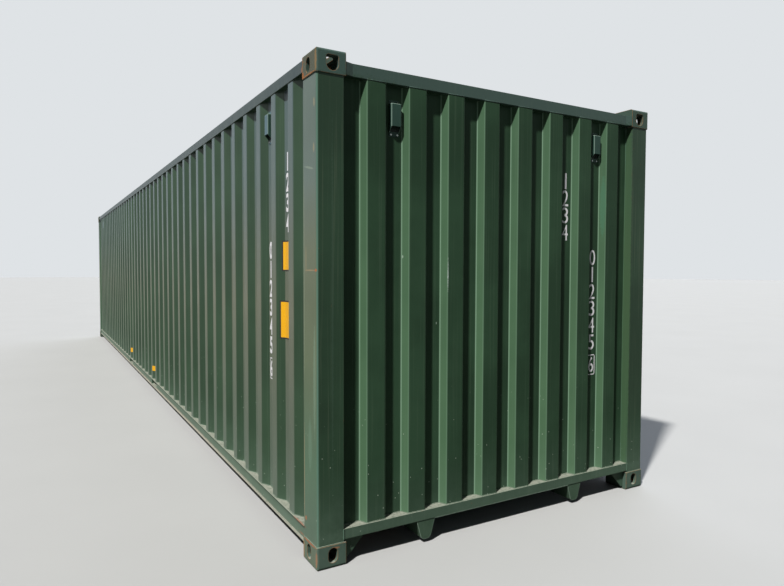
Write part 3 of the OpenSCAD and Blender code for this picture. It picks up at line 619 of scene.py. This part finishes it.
def addSheet(bm, line, place, low, high, thickness):
    # place turns (along, depth, height) into a point; the sheet is drawn up from low to high
    verts = [bm.verts.new(place(u, d, low)) for u, d in line]
    edges = [bm.edges.new((a, b)) for a, b in zip(verts, verts[1:])]
    made = bmesh.ops.extrude_edge_only(bm, edges=edges)["geom"]
    raised = [item for item in made if isinstance(item, bmesh.types.BMVert)]
    bmesh.ops.translate(bm, vec=place(0, 0, high) - place(0, 0, low), verts=raised)
    faces = [item for item in made if isinstance(item, bmesh.types.BMFace)]
    bmesh.ops.recalc_face_normals(bm, faces=faces)
    outward = place(0, 0, low) - place(0, 1, low)
    if sum(face.normal.dot(outward) * face.calc_area() for face in faces) < 0:
        bmesh.ops.reverse_faces(bm, faces=faces)
    bmesh.ops.solidify(bm, geom=faces, thickness=thickness)


print("walls")

# pressed sheets: face of the ridges, depth, width, slope and pitch of the ridges, press bend and edges
front = {
    "face": 6.080, "depth": 0.0456, "crest": 0.109, "slope": 0.022, "pitch": 0.252, "count": 8,
    "bend": 0.007, "half": 1.068, "low": 0.184, "high": 2.480, "shift": 0.006,
}
side = {
    "face": 1.207, "depth": 0.036, "crest": 0.072, "slope": 0.068, "pitch": 0.2827, "count": 41,
    "bend": 0.008, "first": 5.710, "low": 0.170, "high": 2.516,
}
roof = {
    "face": 2.566, "depth": 0.020, "crest": 0.091, "slope": 0.0135, "pitch": 0.209, "count": 55,
    "bend": 0.003, "half": 1.151,
}
door = {
    "face": -6.026, "depth": 0.036, "crest": 0.120, "slope": 0.040, "pitch": 0.330, "count": 6,
    "bend": 0.006, "gap": 0.004, "edge": 1.144, "low": 0.178, "high": 2.422, "stile": 0.100, "member": 0.120,
}
sheetWall = 0.002
frontTrough = front["face"] - front["depth"]
sideTrough = side["face"] - side["depth"]
roofTrough = roof["face"] - roof["depth"]

frontCentres = [c + front["shift"] for c in centred(front)]
frontLine = sheetLine(-front["half"], front["half"], frontCentres, front)
frontUpperLine = sheetLine(-body["castY"], body["castY"], frontCentres, front)
sideCentres = sorted(side["first"] - i * side["pitch"] for i in range(side["count"]))
sideLine = sheetLine(-body["castX"], body["castX"], sideCentres, side)
roofLine = sheetLine(-body["castX"], body["castX"], centred(roof), roof)
doorCentres = [(door["low"] + door["high"]) / 2 + c for c in centred(door)]
doorLine = sheetLine(door["low"] + door["member"], door["high"] - door["member"], doorCentres, door)
sidePoints = roundedLine(sideLine, side["bend"])


def frontPlace(u, d, h):
    return Vector((front["face"] - d, u, h))


def sidePlace(sign):
    return lambda u, d, h: Vector((u, sign * (side["face"] - d), h))


def doorPlace(sign):
    return lambda u, d, h: Vector((door["face"] + d, sign * h, u))


def roofPlace(u, d, h):
    return Vector((u, h, roof["face"] - d))


# the front sheet is narrower between the top castings
bm = bmesh.new()
wide, narrow = (roundedLine(line, front["bend"]) for line in (frontLine, frontUpperLine))
addSheet(bm, wide, frontPlace, front["low"], body["castHigh"], sheetWall)
addSheet(bm, narrow, frontPlace, body["castHigh"], front["high"], sheetWall)
finishMesh(bm, "frontSheet", frontPaint, ["front_wall"])
for sign, name in sides:
    bm = bmesh.new()
    addSheet(bm, sidePoints, sidePlace(sign), side["low"], side["high"], sheetWall)
    finishMesh(bm, "sideSheet_" + name, materials["wall_paint"], ["side_wall_" + name])
    bm = bmesh.new()
    inner, outer = door["gap"] + door["stile"], door["edge"] - door["stile"]
    addSheet(bm, roundedLine(doorLine, door["bend"]), doorPlace(sign), inner, outer, sheetWall)
    finishMesh(bm, "doorSheet_" + name, materials["wall_paint"], ["door_panel_" + name])
bm = bmesh.new()
addSheet(bm, roundedLine(roofLine, roof["bend"]), roofPlace, -roof["half"], roof["half"], sheetWall)
finishMesh(bm, "roofSheet", materials["wall_paint"], ["roof"])

print("welds")

# faces and outer corner of a post; ends of the rails as (off the middle, height); radii of the beads
post = {"front": 6.091, "side": 1.214, "corner": 0.014, "back": 5.919, "rearInner": 1.153}
rails = {
    "upper": ((1.211, 2.517), (1.211, 2.575)),
    "lower": ((1.217, 0.0865), (1.203, 0.0905), (1.203, 0.165), (1.217, 0.1695)),
    "sillLow": 0.131,
}
beads = {"plate": 0.004, "post": 0.0035, "sheet": 0.003}
bm = bmesh.new()
for sx in (-1, 1):
    for sy in (-1, 1):
        # round the foot of a post on its casting, and round its head under the one above
        bends = [(math.sin(i * math.pi / 6) - 1, math.cos(i * math.pi / 6) - 1) for i in range(4)]
        arc = [(post["front"] + post["corner"] * a, post["side"] + post["corner"] * b) for a, b in bends]
        inner = front["half"] if sx > 0 else post["rearInner"]
        ring = [(post["back"], post["side"])] + arc + [(post["front"], inner)]
        for z in (body["castLow"], body["castHigh"]):
            addBead(bm, [(sx * x, sy * y, z) for x, y in ring], beads["post"])
        # side sheet to post, and rails to castings
        end = sx * body["castX"]
        addBead(bm, [(end, sy * sideTrough, z) for z in (side["low"], side["high"])], beads["plate"])
        addBead(bm, [(end, sy * y, z) for y, z in rails["upper"]], beads["plate"])
        addBead(bm, [(end, sy * y, z) for y, z in rails["lower"]], beads["sheet"])
for sy in (-1, 1):
    edge = sy * front["half"]
    addBead(bm, [(frontTrough, edge, z) for z in (front["low"], body["castHigh"])], beads["plate"])
    addBead(bm, [(post["front"], edge, z) for z in (rails["sillLow"], front["low"])], beads["post"])
    for z in (side["low"], side["high"]):
        addBead(bm, [(u, sy * (side["face"] - d), z) for u, d in sideLine], beads["sheet"])
for z in (front["low"], front["high"]):
    addBead(bm, [(front["face"] - d, u, z) for u, d in frontUpperLine], beads["sheet"])
finishMesh(bm, "weldBeads", materials["frame_paint"], smooth=70)

# thin joints between pressed panels: four ridges to a side panel, five to a roof panel
seams = {"sideFirst": 2, "sideRidges": 4, "side": 0.0012, "roofRidges": 5, "roof": 0.0018, "perMetre": 6}
bm = bmesh.new()
for sign in (-1, 1):
    for centre in sideCentres[seams["sideFirst"]::seams["sideRidges"]]:
        path = [(centre - side["pitch"] / 2, sign * sideTrough, z) for z in (side["low"], side["high"])]
        addBead(bm, path, seams["side"], seams["perMetre"])
for centre in centred(roof)[seams["roofRidges"]::seams["roofRidges"]]:
    path = [(centre - roof["pitch"] / 2, y, roofTrough) for y in (-roof["half"], roof["half"])]
    addBead(bm, path, seams["roof"], seams["perMetre"])
for sign in (-1, 1):
    addBead(bm, [(u, sign * roof["half"], roof["face"] - d) for u, d in roofLine], beads["sheet"])
finishMesh(bm, "panelSeams", materials["wall_paint"], smooth=70)

print("floor")

# boards in rows along the box; the last pair fills the tongue between the front castings
boards = {
    "low": -5.934, "high": 5.916, "half": 1.149, "rows": 5, "gap": 0.002, "edge": 0.0015,
    "bottom": 0.1655, "top": 0.1935, "tongue": 1.055, "tip": 6.009,
}
bm = bmesh.new()
boardLength = (boards["high"] - boards["low"]) / boards["rows"]
starts = [boards["low"] + i * boardLength for i in range(boards["rows"])]
spans = [(start, start + boardLength, boards["half"]) for start in starts]
for sign in (-1, 1):
    for start, end, half in spans + [(boards["high"], boards["tip"], boards["tongue"])]:
        near, far = sorted((sign * boards["gap"], sign * half))
        low = (start + boards["gap"], near, boards["bottom"])
        addBox(bm, low, (end, far, boards["top"]), boards["edge"])
finishMesh(bm, "floorBoards", materials["floor_wood"], ["floor"])

print("door trim")

# seal lips round the doors and between them
seal = {
    "outer": -6.022, "inner": -5.991, "open": 1.152, "low": 0.170, "high": 2.430,
    "width": 0.008, "edge": 0.0016,
}
bm = bmesh.new()
sealFoot, sealHead = seal["low"] + seal["width"], seal["high"] - seal["width"]
sealBars = [
    (0.0, seal["open"], seal["low"], sealFoot),
    (0.0, seal["open"], sealHead, seal["high"]),
    (0.0, seal["width"] / 2, sealFoot, sealHead),
    (seal["open"] - seal["width"], seal["open"], sealFoot, sealHead),
]
for sign in (-1, 1):
    for inner, outer, low, high in sealBars:
        near, far = sorted((sign * inner, sign * outer))
        addBox(bm, (seal["outer"], near, low), (seal["inner"], far, high), seal["edge"])
finishMesh(bm, "doorGaskets", materials["seal_rubber"], ["door_seals"])

# lock rods off the middle, heights of their guides and handles and of the hinges, and the faces they stand on
gear = {
    "rods": (-0.900, -0.290, 0.290, 0.900), "guides": (0.238, 0.805, 1.795, 2.362),
    "handles": (1.135, 1.465, 1.465, 1.135), "hinges": (0.298, 0.966, 1.634, 2.302),
    "foot": -6.030, "strap": -6.034, "bar": -6.0853,
}
guideBolt = {"radius": 0.0065, "height": 0.0055, "across": 0.034, "up": 0.011}
strapBolt = {"radius": 0.0080, "height": 0.0070, "across": (1.064, 1.100), "up": 0.020}
handleRivet = {"radius": 0.0085, "height": 0.0045}
bm = bmesh.new()
stamp(bm, boltHead(guideBolt["radius"], guideBolt["height"]), [
    facing("rear", (gear["foot"], y + across, z + up)) for y in gear["rods"] for z in gear["guides"]
    for across in (-guideBolt["across"], guideBolt["across"]) for up in (-guideBolt["up"], guideBolt["up"])
])
stamp(bm, boltHead(strapBolt["radius"], strapBolt["height"]), [
    facing("rear", (gear["strap"], sign * across, z + up)) for sign in (-1, 1) for z in gear["hinges"]
    for across in strapBolt["across"] for up in (-strapBolt["up"], strapBolt["up"])
])
stamp(bm, rivetHead(handleRivet["radius"], handleRivet["height"]), [
    facing("rear", (gear["bar"], y, z)) for y, z in zip(gear["rods"], gear["handles"])
])
finishMesh(bm, "doorBolts", materials["gear_paint"])

# beads beside the keepers of the rods, and along the hinge lugs on the rear posts
keeper = {"face": -6.0365, "heights": (0.129, 2.471), "half": 0.0465, "reach": 0.022, "bead": 0.003}
lug = {"side": 1.1525, "back": -6.030, "tip": -6.054, "half": 0.044, "bead": 0.0025}
bm = bmesh.new()
for y in gear["rods"]:
    for z in keeper["heights"]:
        for sign in (-1, 1):
            edge = y + sign * keeper["half"]
            ends = (z - keeper["reach"], z + keeper["reach"])
            addBead(bm, [(keeper["face"], edge, end) for end in ends], keeper["bead"])
for sign in (-1, 1):
    for z in gear["hinges"]:
        for up in (-lug["half"], lug["half"]):
            addBead(bm, [(x, sign * lug["side"], z + up) for x in (lug["back"], lug["tip"])], lug["bead"])
finishMesh(bm, "gearWelds", materials["frame_paint"], smooth=70)

print("markings")

# digits are thin film, lifted a little off the sheet; narrowOne is how much of its width a 1 takes
film = {"lift": 0.0002, "thickness": 0.0004, "narrowOne": 0.30}


def addDigit(bm, text, place, width, height, bold):
    # its box is set to width and height; place maps (across, up, out) to a point
    curve = bpy.data.curves.new("digit", "FONT")
    curve.body = text
    curve.extrude = 0.5
    curve.offset = bold
    holder = bpy.data.objects.new("digit", curve)
    scene.collection.objects.link(holder)
    mesh = bpy.data.meshes.new_from_object(holder.evaluated_get(bpy.context.evaluated_depsgraph_get()))
    bpy.data.objects.remove(holder)
    if text == "1":
        width *= film["narrowOne"]
    xs, ys = ([vert.co[k] for vert in mesh.vertices] for k in (0, 1))
    left, wide, foot, tall = min(xs), max(xs) - min(xs), min(ys), max(ys) - min(ys)
    start = len(bm.verts)
    bm.from_mesh(mesh)
    bm.verts.ensure_lookup_table()
    for vert in bm.verts[start:]:
        across = ((vert.co.x - left) / wide - 0.5) * width
        up = (vert.co.y - foot) / tall * height
        vert.co = place(across, up, film["lift"] + film["thickness"] * (vert.co.z + curve.extrude))


def addColumn(bm, text, top, pitch, height, width, bold, place):
    for i, digit in enumerate(text):
        base = top - height - i * pitch
        addDigit(bm, digit, lambda across, up, out: place(across, base + up, out), width, height, bold)


def addCheckBox(bm, place, box):
    # outline round the last digit
    half, low, high, stroke = box["width"] / 2, box["low"], box["high"], box["stroke"]
    bars = (
        (-half, half, high - stroke, high), (-half, half, low, low + stroke),
        (-half, -half + stroke, low, high), (half - stroke, half, low, high),
    )
    outs = (film["lift"], film["lift"] + film["thickness"])
    for left, right, bottom, top in bars:
        corners = [place(a, z, out) for a in (left, right) for z in (bottom, top) for out in outs]
        spans = list(zip(*corners))
        addBox(bm, [min(span) for span in spans], [max(span) for span in spans])


def frontMark(y):
    return lambda across, up, out: Vector((frontTrough + out, y + front["shift"] + across, up))


def sideMark(x, sign):
    return lambda across, up, out: Vector((x - sign * across, sign * (sideTrough + out), up))


# each column: its place along the wall, then text, top, pitch, height, width and boldness of the digits
frontColumns = [
    (0.504, "1234", 2.126, 0.109, 0.100, 0.050, 0.0),
    (0.756, "012345", 1.642, 0.112, 0.100, 0.050, 0.0),
    (0.756, "6", 0.932, 0.112, 0.100, 0.042, 0.0),
]
frontCheck = {"along": 0.756, "width": 0.070, "low": 0.813, "high": 0.948, "stroke": 0.006}
sideColumns = [
    (5.5690, "1234", 2.168, 0.115, 0.105, 0.046, 0.030),
    (5.2740, "012345", 1.675, 0.115, 0.105, 0.046, 0.030),
    (5.2760, "6", 0.955, 0.115, 0.100, 0.034, 0.020),
]
sideCheck = {"along": 5.2760, "width": 0.052, "low": 0.840, "high": 0.970, "stroke": 0.006}
bm = bmesh.new()
for along, *digits in frontColumns:
    addColumn(bm, *digits, frontMark(along))
addCheckBox(bm, frontMark(frontCheck["along"]), frontCheck)
finishMesh(bm, "frontDigits", whiteFilm)
for sign, name in sides:
    bm = bmesh.new()
    for along, *digits in sideColumns:
        addColumn(bm, *digits, sideMark(along, sign))
    addCheckBox(bm, sideMark(sideCheck["along"], sign), sideCheck)
    finishMesh(bm, "sideDigits_" + name, whiteFilm)


# how far each film of a label stands off the sheet
label = {"thickness": 0.0003, "rim": 0.0006, "face": 0.0010}


def addPatch(bm, along, heights, out):
    # film that follows the pressed sheet between two places along it
    low, high = along
    line = [(u, d) for u, d in sidePoints if low < u < high]
    for end in along:
        after = next(i for i, point in enumerate(sidePoints) if point[0] >= end)
        (u0, d0), (u1, d1) = sidePoints[after - 1], sidePoints[after]
        line.append((end, d0 + (d1 - d0) * (end - u0) / (u1 - u0)))
    line = [(u, d - out) for u, d in sorted(line)]
    addSheet(bm, line, sidePlace(-1), heights[0], heights[1], label["thickness"])


# plain labels as spans along the wall and up it; the dark rim is wider at the rear end
panels = {"upperPanel": ((5.507, 5.600), (1.499, 1.673)), "lowerPanel": ((5.490, 5.604), (1.110, 1.330))}
panelRim = {"rear": 0.009, "front": 0.004, "ends": 0.008}
pocketPatches = (((0.933, 1.020), (0.265, 0.324)), ((-1.046, -0.965), (0.257, 0.320)))
for name, (along, heights) in panels.items():
    bm = bmesh.new()
    addPatch(bm, along, heights, label["rim"])
    finishMesh(bm, name + "Rim", blackFilm)
    bm = bmesh.new()
    shorter = (along[0] + panelRim["rear"], along[1] - panelRim["front"])
    lower = (heights[0] + panelRim["ends"], heights[1] - panelRim["ends"])
    addPatch(bm, shorter, lower, label["face"])
    finishMesh(bm, name, yellowFilm)
bm = bmesh.new()
for along, heights in pocketPatches:
    addPatch(bm, along, heights, label["rim"])
finishMesh(bm, "pocketMarks", yellowFilm)

print("vents")

# drawn right, up and out from the top edge of the hood on the wall
hood = {
    "half": 0.030, "out": 0.031, "top": 0.004, "topOut": 0.001, "bottom": -0.152, "mouth": -0.118,
    "bend": 0.005, "wall": 0.0025, "plateTop": 0.022, "plateBottom": -0.170, "plateEdge": 0.0008,
}
screw = {
    "across": 0.019, "upper": 0.012, "lower": -0.160, "middle": 0.0045, "radius": 0.0056, "height": 0.0050,
    "edge": 0.0016,
}
screen = {"middle": -0.075, "width": 0.054, "height": 0.138, "pitch": 0.006, "wire": 0.0008, "out": 0.0045}
ventHeights = {"front": 2.385, "side": 2.430}
ventAcross = 0.756


def addScrews(bm, up):
    for across in (-screw["across"], screw["across"]):
        middle = (across, up, screw["middle"])
        addRound(bm, middle, (0, 0, 1), screw["radius"], screw["height"], 12, screw["edge"])


def ventHood():
    # the mouth slants back below; hood and flange are one with the two upper screws, which are painted over
    bm = bmesh.new()
    verts = addBox(bm, (-hood["half"], hood["bottom"], 0.0), (hood["half"], hood["top"], hood["out"]))
    for vert in verts:
        if vert.co.z > hood["out"] / 2:
            vert.co.y = hood["mouth"] if vert.co.y < hood["mouth"] else hood["topOut"]
    mouth = min(bm.faces, key=lambda face: face.calc_center_median().y)
    back = min(bm.faces, key=lambda face: face.calc_center_median().z)
    bmesh.ops.delete(bm, geom=[mouth, back], context="FACES_ONLY")
    bend = [edge for edge in bm.edges if len(edge.link_faces) == 2]
    roundEdges(bm, bend, hood["bend"], 3)
    bmesh.ops.recalc_face_normals(bm, faces=bm.faces[:])
    bmesh.ops.solidify(bm, geom=bm.faces[:], thickness=hood["wall"])
    low = (-hood["half"], hood["plateBottom"], 0.0)
    addBox(bm, low, (hood["half"], hood["plateTop"], hood["wall"]), hood["plateEdge"])
    addScrews(bm, screw["upper"])
    return bm


def ventScrews():
    bm = bmesh.new()
    addScrews(bm, screw["lower"])
    return bm


def ventScreen():
    # woven screen behind the mouth, its level wires a millimetre further out than the upright ones
    bm = bmesh.new()
    for i in range(-4, 5):
        middle = (i * screen["pitch"], screen["middle"], screen["out"])
        addRound(bm, middle, (0, 1, 0), screen["wire"], screen["height"], 6)
    for i in range(-11, 12):
        middle = (0, screen["middle"] + i * screen["pitch"], screen["out"] + 0.001)
        addRound(bm, middle, (1, 0, 0), screen["wire"], screen["width"], 6)
    return bm


ventPlaces = []
for sign in (-1, 1):
    spot = (frontTrough, sign * ventAcross + front["shift"], ventHeights["front"])
    ventPlaces.append(facing("front", spot))
for sign, name in sides:
    # in the second trough from each end of the side
    for step in (1.5, side["count"] - 2.5):
        spot = (side["first"] - step * side["pitch"], sign * sideTrough, ventHeights["side"])
        ventPlaces.append(facing(name, spot))
bm = bmesh.new()
stamp(bm, ventHood(), ventPlaces)
finishMesh(bm, "ventHoods", hoodCoat, ["wall_vents"])
bm = bmesh.new()
stamp(bm, ventScrews(), ventPlaces)
finishMesh(bm, "ventScrews", materials["rod_steel"])
bm = bmesh.new()
stamp(bm, ventScreen(), ventPlaces)
finishMesh(bm, "ventScreens", darkHollow)

print("stage")


def makeFloor(look):
    bm = bmesh.new()
    bmesh.ops.create_circle(bm, cap_ends=True, segments=96, radius=look["radius"])
    mesh = bpy.data.meshes.new("floorPlane")
    bm.to_mesh(mesh)
    bm.free()
    made, tree, shader = newMaterial("paleFloor")
    place = addNode(tree, "TexCoord").outputs["Object"]
    tone = blendColour(tree, noise(tree, place, 0.8, 3.0), linear(look["dark"]), linear(look["pale"]))
    # pale to the eye, but as dark as tarmac to the walls that it lights, and dusty where enamel mirrors it
    rays = addNode(tree, "LightPath").outputs
    unseen = blendColour(tree, rays["Is Glossy Ray"], linear(look["lighting"]), linear(look["mirrored"]))
    tree.links.new(blendColour(tree, rays["Is Camera Ray"], unseen, tone), shader.inputs["Base Color"])
    shader.inputs["Roughness"].default_value = 0.85
    mesh.materials.append(made)
    ground = bpy.data.objects.new("floorPlane", mesh)
    scene.collection.objects.link(ground)


def makeSky(look):
    world = bpy.data.worlds.new("studio")
    scene.world = world
    world.use_nodes = True
    tree = world.node_tree
    tree.nodes.clear()
    # bright where it is seen or mirrored, faint as a light
    rays = addNode(tree, "LightPath").outputs
    shown = combine(tree, "MAXIMUM", rays["Is Camera Ray"], rays["Is Glossy Ray"])
    shown = combine(tree, "MAXIMUM", shown, rays["Is Transmission Ray"])
    lit = addNode(tree, "Background", Color=linear(look["lighting"]), Strength=look["strength"])
    seen = addNode(tree, "Background", Color=linear(look["seen"]), Strength=1.0)
    mixed = addNode(tree, "MixShader", i0=shown, i1=lit.outputs[0], i2=seen.outputs[0])
    addNode(tree, "OutputWorld", Surface=mixed.outputs[0])


def addSun(lamp):
    data = bpy.data.lights.new(lamp["name"], "SUN")
    data.energy = lamp["power"]
    data.angle = math.radians(lamp["spread"])
    data.color = linear(lamp["colour"])[:3]
    light = bpy.data.objects.new(lamp["name"], data)
    light.matrix_world = (-Vector(lamp["from"])).to_track_quat("-Z", "Y").to_matrix().to_4x4()
    scene.collection.objects.link(light)


makeFloor({"radius": 90, "dark": "#aeb1b4", "pale": "#b5b8bb", "lighting": "#484745", "mirrored": "#7f847a"})
makeSky({"lighting": "#dbe6f2", "strength": 0.035, "seen": "#dfe3e6"})
addSun({"name": "keyLight", "from": (1.0, -1.7, 2.56), "power": 5.0, "spread": 3.0, "colour": "#fffaf2"})
# reaches only the faces turned away from the picture
addSun({"name": "backLight", "from": (-1.0, 1.2, 1.0), "power": 1.5, "spread": 70, "colour": "#e6edf8"})
